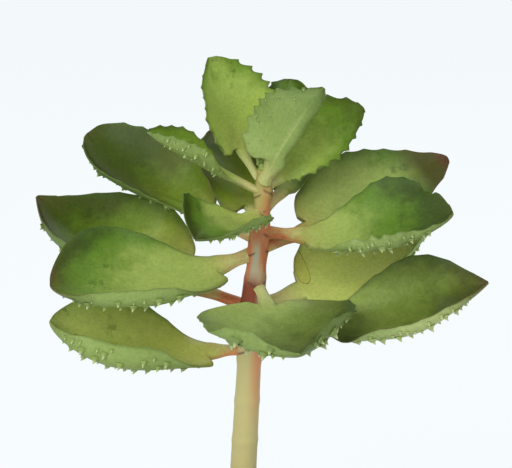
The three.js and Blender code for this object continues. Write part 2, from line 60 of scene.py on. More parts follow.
# Soil, and the loose bits strewn on it: flat bark chips and pale grit, each one in so many, and crumbs
SOIL = dict(
    top=94, mound=3, mound_radius=22, lumps=1.1, lump_lengths=(6.1, 5.3, 3.3, 4.1), fine_lumps=0.6,
    ripples=0.35, ripple_turns=(1.9, 1.3, 2.1), foot=3, shoulder=2, inner=8.0, rings=44, around=120,
)
BITS = dict(count=900, seed=7, area=(0.025, 0.93), rise=0.25, corners=(0.7, 1.25), narrow=(0.6, 1))
BIT_KINDS = dict(
    bark=dict(kind=1.0, size=(1.2, 2.8), flat=0.35, one_in=7, first=3),
    grit=dict(kind=2.0, size=(0.5, 1.5), flat=0.8, one_in=9, first=0),
    crumb=dict(kind=0.0, size=(0.5, 1.5), flat=0.8, one_in=1, first=0),
)

# Stem: centre line as [x, y, z] and radius as [z, radius]
STEM_LINE = np.array([
    [0, 0, 60], [0.5, 0, 108], [2, 0, 142], [6, 0, 217],
    [8, 0, 250], [11, 0, 280], [13.5, 0, 305], [14.5, 0, 327],
], float)
STEM_RADII = np.array([
    [60, 8.6], [108, 8.4], [142, 8.1], [217, 7.2], [254, 7.0],
    [268, 5.9], [280, 5.6], [305, 4.8], [327, 4.2],
], float)
STEM_GRID = dict(around=64, rows=360)
JOINT_PAD = dict(depth=1.1, below=2, spread=6, angle=0.5)
NODE_RING = dict(depth=0.35, spacing=26, spread=3)
STEM_RIDGES = dict(depth=0.12, count=5, rise=(205, 230))
LEAF_SCAR = dict(below=5.2, rise=3.0, width=0.7, ends=(1.1, 0.8))

# Leaves: thickness, outline and section
STALK = dict(
    half=4.2, depth=6.4, root=1.0, waist=0.82, shoulder=1.5, narrow_by=0.5,
    widen_from=0.45, fade=0.15, round=0.95, blade_by=0.2, taper=0.9,
)
BLADE = dict(margin=1.0, body=2.2, rib=2.2, rib_width=7)
LOBE = dict(sides=(5, 13), fade=(0.03, 0.3))
FOLD = dict(start=0.35, rise=(0, 0.3))
CURL = dict(tip=(0.75, 1), tip_loss=0.4)
WAVE = dict(turns=2, phase=(0.15, 0.6))
TOOTH = dict(root=0.82, least_width=0.2)
SECTION_STEPS = 24

# Low swellings of the fine blade, and the folds of a crumpled margin
SWELL = dict(
    height=0.45, broad=(9.0, 2.6), fine=(17.0, 3.0), fine_share=0.5, shift=(1.7, 2.1),
    along=(0, 0.15), across=(0, 0.35),
)
CRUMPLE = dict(folds=34, stray=4, stray_turns=11, full=0.8, tip=(1, 0.85))

# How finely the leaves are drawn: rows crowd towards the blade's ends, and columns towards its margins
LEAF_GRID = dict(stalk_rows=22, blade_rows=96, columns=20)
TIP_GRID = dict(stalk_rows=4, blade_rows=24, columns=7)
ROW_CROWDING = 0.35
FIRST_ROW = 0.004
COLUMN_POWER = 0.9
MARGIN_ARC = (45, 0, -45)
MARGIN_UNDER = (0.25, 0.5, 0.75)

# Soft teeth of the undersides, as in the part's source, and the smaller ones strewn between them
WART = dict(
    radius=1.9, height=3.3, lean=0.8, bend=0.35, inner=0.42, outer=0.86, least=0.75,
    spread=0.35, turn=0.618, stray=0.2, jitter=(0.3, 0.4), clear_rows=(3, 4), sides=9,
)
WART_PROFILE = [
    (1.6, -0.25), (1.15, 0.0), (0.82, 0.2), (0.56, 0.45), (0.34, 0.7), (0.16, 0.9), (0.03, 0.97),
]
SMALL_WART = dict(share=1.6, seed=100, along=(0.08, 0.84), across=(0.4, 0.5), least=0.35, spread=0.35)
COARSE = dict(stalk_rows=3, blade_ends=(0.02, 0.985))

# Each leaf leaves the stem at a height and azimuth, and its tip lies reach out and rise up from there.
# Pairs are (left, right) as seen along the leaf from the stem, and triples are (base, middle, tip).
#   start         how far from the stem's middle it begins, as a share of the stem's radius
#   petiole       length of the stalk, and stalk its size as a share of the plain one
#   bow, sweep    how far the midrib bends up and sideways at one and two thirds of its length
#   half, belly   widest half width, and how far along the blade it lies
#   full, blunt   how square the outline is at its base and at its tip
#   left, right   angle of each side above the midrib's plane
#   curl, lip     further angle that the margin curls up by, and the share of the side where that starts
#   curl_from     where along the blade the curl starts and is full
#   roll          turn about the midrib at base and tip, left side up
#   back          how far the lobes at the blade's base reach back
#   flesh         share of the full thickness
#   teeth         depth of the margin's scallops, and wave how far the margin waves up and down
#   warts         soft teeth under each side, and wart_size their size as a share of the plain one
#   crumple       height of the folds beside the right margin
# Looks, each stronger with a larger number:
#    tone, fade    depth of the green all over, partly painted light and shade over whole leaves, and how much it deepens to the tip
#    slant         how much deeper the left side is than the right one, as painted light and shade on the blade's two sides
#   blush         dusky tip and brown margin
#    bloom, pale   greyish waxy film above, partly a painted sheen, and pale underside, partly a painted highlight
#   yellow        yellow base, and red_stalk the red of the stalk
#   scar          a healed patch at a place along and across the blade
LEAF_DEFAULTS = dict(
    start=0.7, bow=(0, 0), sweep=(0, 0), petiole=24, stalk=1, half=(33, 33), belly=(0.45, 0.45),
    full=(0.75, 0.75), blunt=(0.62, 0.62), left=(35, 35, 25), right=(35, 35, 25), roll=(0, 0),
    curl=(0, 0), curl_from=(0.02, 0.4), lip=0.5, back=(4, 4), flesh=1, teeth=1.2, tooth_count=8, wave=1,
    warts=(0, 0), wart_size=1, notch=None, crumple=0.0, scar=None,
)
LOOK_DEFAULTS = dict(
    tone_and_painted_light=0.0, fade=0.85, side_shading=0.0, blush=0.3, bloom_and_sheen=0.0, pale=0.0, yellow=0.0, red_stalk=0.3,
)
LEAVES = dict(
    leaf_lower_left=dict(
        height=217, azimuth=189.5, reach=121, rise=22, petiole=25, bow=(-8, -16), roll=(-30, -30),
        half=(38, 33), belly=(0.54, 0.62), full=(0.8, 0.8),
        left=(20, 25, 20), right=(30, 30, 20), curl=(132, 0), lip=0.46,
        back=(7, 0), teeth=0.6, warts=(16, 0),
        tone_and_painted_light=-0.8, fade=0.5, blush=0.25, bloom_and_sheen=0.2, yellow=0.45, red_stalk=0.9),
    leaf_front=dict(
        height=261, azimuth=-74, reach=93, rise=-19, start=0.35, petiole=27, stalk=0.9,
        bow=(-6, -22), sweep=(4, 3), roll=(0, 6),
        half=(44, 47), belly=(0.3, 0.33), full=(0.4, 0.3), blunt=(1, 1),
        left=(30, 25, 20), right=(10, 22, 20), curl=(85, 85), curl_from=(0.42, 0.8),
        back=(4, 7), warts=(9, 9), wart_size=1.3,
        tone_and_painted_light=0.25, fade=1.0, side_shading=0.4, blush=0.1, bloom_and_sheen=1.1, pale=0.1, red_stalk=0.0),
    leaf_lower_right=dict(
        height=234, azimuth=-12, reach=142, rise=32, petiole=44, bow=(-8, -12), roll=(38, 38),
        half=(30, 35), belly=(0.59, 0.44), full=(0.9, 1.1), blunt=(1, 1),
        left=(20, 25, 20), right=(20, 20, 20), curl=(0, 90), back=(0, 0), teeth=0.6, warts=(0, 14),
        tone_and_painted_light=0.3, fade=1.0, side_shading=-0.3, blush=0.9, bloom_and_sheen=1.0, pale=0.8, yellow=0.05, red_stalk=0.2),
    leaf_mid_left_back=dict(
        height=243, azimuth=162, reach=141, rise=57, petiole=44, bow=(-6, -14), roll=(-30, -30),
        half=(36, 37), belly=(0.6, 0.34), full=(0.6, 0.42), blunt=(1, 0.9), curl=(60, 0),
        back=(0, -4), teeth=0.6, warts=(9, 0),
        tone_and_painted_light=-0.15, fade=1.7, blush=0.7, yellow=0.3, red_stalk=1.0),
    leaf_mid_right_back=dict(
        height=244, azimuth=24, reach=125, rise=43, petiole=33, bow=(-10, -8), roll=(40, 30),
        half=(38, 29), belly=(0.44, 0.4), full=(0.7, 0.6), curl=(0, 60), back=(0, 0), warts=(0, 9),
        tone_and_painted_light=-1.1, fade=0.6, blush=0.2, red_stalk=0.15,
        scar=dict(at=0.06, across=0.6, tilt=0.02, length=0.045, width=0.55)),
    leaf_mid_left_front=dict(
        height=279, azimuth=197, reach=127, rise=-13, petiole=28, stalk=1.15,
        bow=(-10, -4), roll=(-35, -35), half=(37, 34), belly=(0.5, 0.66), full=(0.85, 0.7),
        left=(15, 20, 15), right=(30, 30, 20), curl=(110, 0), back=(8, 0), teeth=0.6, warts=(16, 0),
        tone_and_painted_light=-0.25, fade=1.2, side_shading=-0.2, blush=0.65, bloom_and_sheen=0.2, red_stalk=0.35),
    leaf_upper_right_back=dict(
        height=280, azimuth=17, reach=121, rise=47, petiole=34, bow=(-4, -8), roll=(35, 30),
        half=(33, 30), belly=(0.36, 0.45), full=(0.6, 0.7), blunt=(0.75, 0.62),
        tone_and_painted_light=-0.15, blush=1.5, bloom_and_sheen=0.7, red_stalk=0.9),
    leaf_upper_right_front=dict(
        height=291, azimuth=-15, reach=116, rise=17, petiole=28, bow=(-8, -10), roll=(38, 38),
        half=(32, 24), belly=(0.6, 0.48), full=(0.8, 0.9),
        left=(20, 25, 20), right=(20, 20, 20), curl=(0, 120), back=(0, 0), wave=1.6, warts=(0, 12),
        notch=dict(side=0, at=0.85, width=0.035, depth=8),
        tone_and_painted_light=-0.05, fade=1.4, blush=0.2, bloom_and_sheen=0.3, pale=0.2, red_stalk=1.1, crumple=1.6),
    leaf_upper_left_back=dict(
        height=286, azimuth=155, reach=117, rise=53, petiole=36, bow=(-6, -12), roll=(-35, -35),
        half=(23, 31), belly=(0.66, 0.45), full=(0.8, 0.6), blunt=(0.62, 0.4), curl=(50, 0),
        back=(0, 0), warts=(8, 0),
        tone_and_painted_light=0.45, fade=1.4, blush=0.25, bloom_and_sheen=0.3, yellow=0.3, red_stalk=0.5),
    leaf_back_left=dict(
        height=296, azimuth=121, reach=56, rise=46, petiole=13, stalk=0.85,
        half=(30, 17), belly=(0.42, 0.42), full=(0.6, 0.6), blunt=(0.8, 1.3),
        tone_and_painted_light=0.6, blush=0.8, yellow=0.4),
    leaf_upper_front_left=dict(
        height=305, azimuth=-121, reach=74, rise=-4, petiole=12, stalk=0.85, bow=(-2, 4), roll=(-8, -16),
        half=(25, 26), belly=(0.45, 0.7), full=(0.75, 1),
        left=(20, 20, 20), right=(30, 45, 65), curl=(60, 0), warts=(8, 0),
        tone_and_painted_light=-1.0, fade=2.3, blush=0.2, yellow=0.1),
    leaf_back_right=dict(
        height=303, azimuth=57, reach=80, rise=30, stalk=0.8, half=(14, 15),
        tone_and_painted_light=0.3, blush=0.5),
    leaf_crown_left=dict(
        height=315, azimuth=200, reach=71, rise=40, stalk=0.75, roll=(-15, -15),
        half=(15, 14), belly=(0.6, 0.6), full=(1, 1), left=(40, 40, 30), right=(60, 60, 45), curl=(80, 0),
        warts=(9, 0), wart_size=0.6,
        tone_and_painted_light=0.1, blush=0.1, yellow=0.3, red_stalk=0.1),
    leaf_crown_right=dict(
        height=315, azimuth=18, reach=63, rise=46, petiole=14, stalk=0.75, roll=(60, 55),
        half=(24, 15), belly=(0.6, 0.5), left=(20, 20, 20), right=(20, 20, 20), teeth=3.2,
        tone_and_painted_light=-0.25, fade=1.35, blush=0.15, yellow=0.2, red_stalk=0.0),
    leaf_crown_front=dict(
        height=318, azimuth=-36, reach=42, rise=63, petiole=20, stalk=0.9,
        bow=(0, 1), sweep=(-4, -3), roll=(-70, -70),
        half=(6, 27), belly=(0.75, 0.36), full=(0.75, 0.5), blunt=(0.62, 1.1),
        left=(75, 75, 60), right=(20, 20, 20),
        back=(0, 5), teeth=3.2, tooth_count=9, warts=(0, 7), wart_size=0.5,
        tone_and_painted_light=0.3, fade=1.1, blush=0.1, red_stalk=0.0),
    leaf_crown_back_left=dict(
        height=320, azimuth=149, reach=38, rise=71, stalk=0.7, bow=(-7, -3), roll=(-15, -15),
        half=(25, 33), belly=(0.38, 0.48), full=(0.85, 0.7), blunt=(0.95, 0.5),
        left=(30, 30, 20), right=(30, 30, 20), teeth=3.4, tooth_count=9,
        tone_and_painted_light=-0.3, fade=0.8, blush=0.15, yellow=0.3, red_stalk=0.0),
    leaf_crown_back=dict(
        height=323, azimuth=68, reach=45, rise=51, petiole=20, stalk=0.45, bow=(-10, -9),
        half=(23, 21), belly=(0.55, 0.6), blunt=(0.45, 0.45), back=(0, 0), flesh=0.8, teeth=3.4,
        tone_and_painted_light=0.3, blush=0.05, red_stalk=0.0),
)

# Growing tip: two pairs of very small leaves over a low dome
TIP = dict(
    pairs=[
        dict(azimuth=57, reach=4.5, rise=12, half=4.5),
        dict(azimuth=147, reach=3, rise=8, half=3.2),
    ],
    leaf=dict(
        start=0, petiole=1.5, stalk=0.5, left=(40, 35, 20), right=(40, 35, 20), back=(0, 0), flesh=0.3,
        teeth=0.4, tooth_count=3, wave=0),
    dome=3.6, dome_rows=8, dome_around=24,
    dome_looks=dict(along=0.3, across=0.3, under=0.0),
)


# Number helpers
def smooth(low, high, x):
    """0 before low, 1 past high, and a soft step between them."""
    s = np.clip((x - low) / (high - low), 0, 1)
    return s * s * (3 - 2 * s)


def parabola(values, x):
    """The curve through three values at 0, 0.5 and 1."""
    base, middle, tip = values
    return base * (1 - x) * (1 - 2 * x) + middle * 4 * x * (1 - x) + tip * x * (2 * x - 1)


def unit(v):
    return v / np.linalg.norm(v, axis=-1, keepdims=True)


def seeded(seed):
    """The same run of numbers from 0 to 1 as the part's source draws."""
    factor, step, span = 1664525, 1013904223, 2 ** 32
    state = seed
    while True:
        state = (state * factor + step) % span
        yield state / span


# Mesh helpers
def make_mesh(name, points_mm, faces, attributes=None):
    mesh = bpy.data.meshes.new(name)
    mesh.from_pydata((np.asarray(points_mm) * MM).tolist(), [], faces)
    for key, values in (attributes or {}).items():
        mesh.attributes.new(key, "FLOAT", "POINT").data.foreach_set("value", np.asarray(values, np.float32))
    mesh.shade_smooth()
    mesh.update()
    piece = bpy.data.objects.new(name, mesh)
    bpy.context.scene.collection.objects.link(piece)
    return piece


def tube_faces(rows, around):
    """Quads between rings of points, with one flat face over each end."""
    faces = []
    for i in range(rows - 1):
        for j in range(around):
            k = (j + 1) % around
            faces.append((i * around + j, i * around + k, (i + 1) * around + k, (i + 1) * around + j))
    faces.append(tuple(range(around))[::-1])
    faces.append(tuple((rows - 1) * around + j for j in range(around)))
    return faces


class Gathered:
    """Several closed shapes for one mesh, with values at their points."""

    def __init__(self, **plain):
        self.points, self.faces, self.plain = [], [], plain
        self.values = {key: [] for key in plain}

    def add(self, points, faces, **values):
        """Add a shape, whose values are the plain ones where it gives none."""
        first = len(self.points)
        self.faces += [tuple(i + first for i in face) for face in faces]
        self.points += list(points)
        for key, plain in self.plain.items():
            self.values[key] += np.broadcast_to(values.get(key, plain), len(points)).tolist()

    def mesh(self, name):
        return make_mesh(name, self.points, self.faces, self.values)


def ring_points(radius, z, around, middle=(0, 0)):
    points = []
    for j in range(around):
        angle = 2 * math.pi * j / around
        points.append((middle[0] + radius * math.cos(angle), middle[1] + radius * math.sin(angle), z))
    return points


# Stem shape
def stem_centre(z):
    z = np.asarray(z, float)
    return np.stack([np.interp(z, STEM_LINE[:, 2], STEM_LINE[:, 0]), np.zeros_like(z), z], -1)


def turn_from(angle, azimuth):
    """Angle from the azimuth, which is in degrees, between -pi and pi."""
    away = angle - math.radians(azimuth)
    return np.arctan2(np.sin(away), np.cos(away))


def stem_radius(z, angle):
    """The stem swells under each leaf stalk and, less, at old nodes."""
    radius = np.interp(z, STEM_RADII[:, 0], STEM_RADII[:, 1])
    for shape in LEAVES.values():
        turn = turn_from(angle, shape["azimuth"])
        below = (z - shape["height"] + JOINT_PAD["below"]) / JOINT_PAD["spread"]
        near = below ** 2 + (turn / JOINT_PAD["angle"]) ** 2
        radius = radius + JOINT_PAD["depth"] * np.exp(-near)
    spacing = NODE_RING["spacing"]
    from_node = np.abs((z + spacing / 2) % spacing - spacing / 2)
    return radius + NODE_RING["depth"] * np.exp(-(from_node / NODE_RING["spread"]) ** 2)


# Leaf shape
def leaf_frame(leaf, t):
    """Centre, unit vectors along the midrib, to its left and up from it, and share u of the blade."""
    azimuth = math.radians(leaf["azimuth"])
    out = np.array([math.cos(azimuth), math.sin(azimuth), 0])
    left = np.array([-math.sin(azimuth), math.cos(azimuth), 0])
    chord = out * leaf["reach"] + np.array([0, 0, leaf["rise"]])
    across = unit(np.cross(chord, left))
    p0 = stem_centre(leaf["height"])
    p1 = p0 + chord / 3 + across * leaf["bow"][0] + left * leaf["sweep"][0]
    p2 = p0 + chord * 2 / 3 + across * leaf["bow"][1] + left * leaf["sweep"][1]
    p3 = p0 + chord
    s = t[:, None]
    centre = (1 - s) ** 3 * p0 + 3 * (1 - s) ** 2 * s * p1 + 3 * (1 - s) * s ** 2 * p2 + s ** 3 * p3
    along = unit((1 - s) ** 2 * (p1 - p0) + 2 * (1 - s) * s * (p2 - p1) + s ** 2 * (p3 - p2))
    side = unit(left - along * (along @ left)[:, None])
    up = np.cross(along, side)
    stalk_share = leaf["petiole"] / np.linalg.norm(chord)
    u = np.clip((t - stalk_share) / (1 - stalk_share), 0, 1)
    base, tip = leaf["roll"]
    roll = np.radians(base + (tip - base) * smooth(0, 1, u))[:, None]
    side, up = side * np.cos(roll) + up * np.sin(roll), up * np.cos(roll) - side * np.sin(roll)
    return centre, along, side, up, u, stalk_share


def outline(leaf, k, u):
    """Share of the widest half width at u along the blade, for the left (0) or right (1) side."""
    inside = (u > 0) & (u < 1)
    power = math.log(0.5) / math.log(leaf["belly"][k])
    full = leaf["full"][k] + (leaf["blunt"][k] - leaf["full"][k]) * smooth(0.5, 1, u)
    wave = np.sin(math.pi * np.where(inside, u, 0.5) ** power)
    return np.where(inside, wave ** full, 0)


def section_angle(leaf, k, u, a):
    """Angle of the section at share a from the midrib to the margin."""
    fold = parabola(leaf["left"] if k == 0 else leaf["right"], u) * smooth(*FOLD["rise"], u)
    spread = FOLD["start"] * smooth(*FOLD["rise"], a) + (1 - FOLD["start"]) * a
    curl = leaf["curl"][k] * smooth(*leaf["curl_from"], u)
    curl = curl * (1 - CURL["tip_loss"] * smooth(*CURL["tip"], u))
    return np.radians(fold * spread + curl * np.clip((a - leaf["lip"]) / (1 - leaf["lip"]), 0, 1))


def section(leaf, k, u, a):
    """Where the section reaches at shares a, for a half width of 1."""
    steps = (np.arange(SECTION_STEPS) + 0.5) / SECTION_STEPS
    angles = section_angle(leaf, k, u[:, None, None], a[None, :, None] * steps)
    return a[None, :] * np.cos(angles).mean(-1), a[None, :] * np.sin(angles).mean(-1)


def bite(leaf, k, u, a):
    """How far the margin is bitten in between its teeth, and at the one torn notch."""
    tooth = np.abs(np.cos(math.pi * (u * leaf["tooth_count"] + 0.5 * k))) * leaf["teeth"]
    torn = leaf["notch"]
    if torn and torn["side"] == k:
        tooth = tooth + torn["depth"] * np.exp(-((u - torn["at"]) / torn["width"]) ** 2)
    return tooth * smooth(TOOTH["root"], 1, a) * (outline(leaf, k, u) > TOOTH["least_width"])


def thickness(leaf, u, a, half_width):
    stalk = STALK["depth"] * leaf["stalk"] * np.sqrt(1 - STALK["round"] * a * a)
    rib = BLADE["rib"] * (1 - u) * np.exp(-(a * half_width / BLADE["rib_width"]) ** 2)
    blade = BLADE["margin"] + leaf["flesh"] * (BLADE["body"] * (1 - a * a) * (1 - u ** 4) + rib)
    s = smooth(0, STALK["blade_by"], u)
    return stalk * (1 - s) + blade * s


def stalk_half(leaf, stalk_share, t, u):
    """The stalk is wide at the stem, narrow in its middle and widest where it turns into the blade."""
    narrow = smooth(0, STALK["narrow_by"] * stalk_share, t)
    widen = smooth(STALK["widen_from"] * stalk_share, stalk_share, t) * (1 - smooth(0, STALK["fade"], u))
    flare = STALK["root"] + (STALK["waist"] - STALK["root"]) * narrow
    flare = flare + (STALK["shoulder"] - STALK["waist"]) * widen
    return STALK["half"] * leaf["stalk"] * flare * (1 - STALK["taper"] * u)


def stalk_fall(leaf, u, a):
    """How far the stalk's round upper side falls from its middle to its edges."""
    fall = STALK["depth"] * leaf["stalk"] / 2 * (1 - np.sqrt(1 - STALK["round"] * a ** 2))
    return fall * (1 - smooth(0, STALK["blade_by"], u))


def uneven(leaf, k, u, a):
    """Height of the blade's low swellings, and of the folds beside a crumpled right margin."""
    turn = leaf["height"] * SWELL["shift"][0] + SWELL["shift"][1] * k
    broad = np.sin(SWELL["broad"][0] * u + turn) * np.cos(SWELL["broad"][1] * a + turn)
    fine = np.sin(SWELL["fine"][0] * u - SWELL["fine"][1] * a + 2 * turn)
    swell = SWELL["height"] * (broad + SWELL["fine_share"] * fine)
    stray = CRUMPLE["stray"] * np.sin(CRUMPLE["stray_turns"] * u)
    folds = k * np.sin(CRUMPLE["folds"] * u + stray) * smooth(leaf["lip"], CRUMPLE["full"], a)
    folds = leaf["crumple"] * folds * smooth(*CRUMPLE["tip"], u)
    return smooth(*SWELL["along"], u) * smooth(*SWELL["across"], a) * (swell + folds)


def leaf_surface(leaf, t, k, a):
    """Upper and lower points, outward edge direction and thickness for rows t and columns a of side k."""
    centre, along, side, up, u, stalk_share = leaf_frame(leaf, t)
    outward = 1 if k == 0 else -1
    u2, a2 = u[:, None], a[None, :]
    half_width = (stalk_half(leaf, stalk_share, t, u) + leaf["half"][k] * outline(leaf, k, u))[:, None]
    x, y = section(leaf, k, u, a)
    angle = section_angle(leaf, k, u2, a2)
    wave = np.sin(2 * math.pi * (WAVE["turns"] * u2 + WAVE["phase"][k]))
    wave = leaf["wave"] * wave * a2 ** 2 * np.sin(math.pi * u2)
    inward = bite(leaf, k, u2, a2)
    reach = x * half_width - inward * np.cos(angle) - wave * np.sin(angle)
    lift = y * half_width - inward * np.sin(angle) + wave * np.cos(angle)
    lift = lift - stalk_fall(leaf, u2, a2) + uneven(leaf, k, u2, a2)
    lobe = leaf["back"][k] * smooth(*LOBE["sides"], a2 * half_width)
    lobe = lobe * (1 - smooth(*LOBE["fade"], u2)) * (u2 > 0)
    s, n, d = side[:, None], up[:, None], along[:, None]
    top = centre[:, None] + s * (outward * reach)[..., None] + n * lift[..., None] - d * lobe[..., None]
    lean = angle * smooth(*FOLD["rise"], a2)
    down = s * (outward * np.sin(lean))[..., None] - n * np.cos(lean)[..., None]
    edge = s * (outward * np.cos(angle))[..., None] + n * np.sin(angle)[..., None]
    thick = thickness(leaf, u2, a2, half_width)
    return top, top + down * thick[..., None], edge, thick


def leaf_shares(leaf):
    """Where along its midrib the leaf leaves the stem, and where its stalk ends."""
    length = math.hypot(leaf["reach"], leaf["rise"])
    radius = np.interp(leaf["height"], STEM_RADII[:, 0], STEM_RADII[:, 1])
    return leaf["start"] * radius / length, leaf["petiole"] / length


def fine_rows(leaf, grid):
    """Rows along the leaf, close together at the blade's two ends."""
    stem_share, stalk_share = leaf_shares(leaf)
    stalk = np.linspace(stem_share, stalk_share, grid["stalk_rows"])
    even = np.linspace(0, 1, grid["blade_rows"] + 1)[1:]
    crowded = 0.5 - 0.5 * np.cos(math.pi * even)
    blade = ROW_CROWDING * crowded + (1 - ROW_CROWDING) * even
    blade[0] = min(blade[0], FIRST_ROW)
    return np.concatenate([stalk, stalk_share + (1 - stalk_share) * blade]), stalk_share


def coarse_rows(leaf):
    """The rows of the part's own leaf, which its soft teeth are counted along."""
    stem_share, stalk_share = leaf_shares(leaf)
    stalk = np.linspace(stem_share, stalk_share, COARSE["stalk_rows"] + 1)
    teeth = np.arange(1, 2 * leaf["tooth_count"]) / (2 * leaf["tooth_count"])
    first, last = COARSE["blade_ends"]
    blade = np.concatenate([[first], teeth, [last, 1]])
    return np.concatenate([stalk, stalk_share + (1 - stalk_share) * blade])


def leaf_rings(leaf, grid):
    """Closed section rings with round margins, and the values that the leaf's material reads."""
    t, stalk_share = fine_rows(leaf, grid)
    a = np.linspace(0, 1, grid["columns"] + 1) ** COLUMN_POWER
    tops, unders, edges, thicks = zip(*(leaf_surface(leaf, t, k, a) for k in (0, 1)))
    u = np.clip((t - stalk_share) / (1 - stalk_share), 0, 1) + np.clip(t / stalk_share - 1, -1, 0)

    def margin(k):
        top, under = tops[k][:, -1], unders[k][:, -1]
        middle, half = (top + under) / 2, (top - under) / 2
        out = edges[k][:, -1] * (thicks[k][:, -1:] / 2)
        return [middle + out * math.cos(s) + half * math.sin(s) for s in np.radians(MARGIN_ARC)]

    last = len(a) - 1
    ring = [(tops[0][:, i], a[i], 0.0, 1) for i in range(last, 0, -1)]
    ring += [(tops[1][:, i], a[i], 0.0, -1) for i in range(last + 1)]
    ring += [(column, 1.0, under, -1) for column, under in zip(margin(1), MARGIN_UNDER)]
    ring += [(unders[1][:, i], a[i], 1.0, -1) for i in range(last, -1, -1)]
    ring += [(unders[0][:, i], a[i], 1.0, 1) for i in range(1, last + 1)]
    ring += [(column, 1.0, under, 1) for column, under in zip(margin(0)[::-1], MARGIN_UNDER[::-1])]
    columns, across, under, sides = zip(*ring)
    rows, around = len(t), len(ring)
    values = dict(
        side=np.tile(sides, rows), along=np.repeat(u, around), across=np.tile(across, rows),
        under=np.tile(under, rows),
    )
    return np.stack(columns, 1).reshape(-1, 3), tube_faces(rows, around), values


# Soft teeth
def wart_spots(leaf, seed):
    """Large soft teeth where the part has them: (t, side, a, size)."""
    draw = seeded(seed)
    rows = coarse_rows(leaf)
    first = COARSE["stalk_rows"] + WART["clear_rows"][0]
    usable = len(rows) - first - WART["clear_rows"][1]
    spots = []
    for k, count in enumerate(leaf["warts"]):
        for n in range(count):
            row = first + usable * (n + WART["jitter"][0] + WART["jitter"][1] * next(draw)) / count
            share = (n * WART["turn"] + WART["stray"] * next(draw)) % 1
            a = WART["inner"] + (WART["outer"] - WART["inner"]) * share
            t = np.interp(row, np.arange(len(rows)), rows)
            spots.append((t, k, a, (WART["least"] + WART["spread"] * next(draw)) * leaf["wart_size"]))
    return spots


def small_wart_spots(leaf, seed):
    """Smaller soft teeth strewn between the large ones."""
    draw = seeded(seed + SMALL_WART["seed"])
    stalk_share = leaf_shares(leaf)[1]
    spots = []
    for k, count in enumerate(leaf["warts"]):
        wanted = count * SMALL_WART["share"]
        for n in range(round(wanted)):
            u = SMALL_WART["along"][0] + SMALL_WART["along"][1] * (n + next(draw)) / wanted
            a = SMALL_WART["across"][0] + SMALL_WART["across"][1] * next(draw)
            size = (SMALL_WART["least"] + SMALL_WART["spread"] * next(draw)) * leaf["wart_size"]
            spots.append((stalk_share + (1 - stalk_share) * u, k, a, size))
    return spots


def wart_rings(foot, outward, along, size):
    """A cone with hollow flanks, whose tip leans towards the leaf's tip."""
    turn = Vector((0, 0, 1)).rotation_difference(Vector(outward))
    points = []
    for radius, height in WART_PROFILE:
        bend = along * WART["bend"] * max(0.0, height) ** 2 * WART["height"] * size
        ring = ring_points(radius * WART["radius"] * size, height * WART["height"] * size, WART["sides"])
        points += [np.array(turn @ Vector(point)) + foot + bend for point in ring]
    return points


# Leaf piece, and what its material reads at a point where a shape gives no value of its own
LEAF_VALUES = dict(along=0.0, across=0.0, under=1.0, wart=0.0, scar=-1.0, aside=0.0)


def scar_field(leaf, values):
    """1 in the middle of a healed patch of the upper side, 0 on its outline and -1 far away."""
    scar = leaf["scar"]
    if not scar:
        return LEAF_VALUES["scar"]
    u, a = values["along"] - scar["at"], values["across"] * values["side"] - scar["across"]
    reach = np.hypot((u - scar["tilt"] * a) / scar["length"], a / scar["width"])
    return np.where(values["under"] < MARGIN_UNDER[0], np.maximum(1 - reach, -1), -1)


def leaf_mesh(name, leaf, seed):
    fine = Gathered(**LEAF_VALUES, **{key: leaf[key] for key in LOOK_DEFAULTS})
    points, faces, values = leaf_rings(leaf, LEAF_GRID)
    values.update(scar=scar_field(leaf, values), aside=values["across"] * values["side"])
    fine.add(points, faces, **values)
    wart_faces = tube_faces(len(WART_PROFILE), WART["sides"])
    lift = np.repeat([max(0.0, height) for _, height in WART_PROFILE], WART["sides"])
    for t, k, a, size in wart_spots(leaf, seed) + small_wart_spots(leaf, seed):
        top, under, edge, _ = leaf_surface(leaf, np.array([t]), k, np.array([a]))
        lean = WART["lean"] * smooth(leaf["lip"], 1, a)
        outward = unit(unit(under[0, 0] - top[0, 0]) - lean * edge[0, 0])
        _, along, _, _, u, _ = leaf_frame(leaf, np.array([t]))
        points = wart_rings(under[0, 0], outward, along[0], size)
        fine.add(points, wart_faces, along=u[0], across=a, wart=lift)
    return fine.mesh(name)


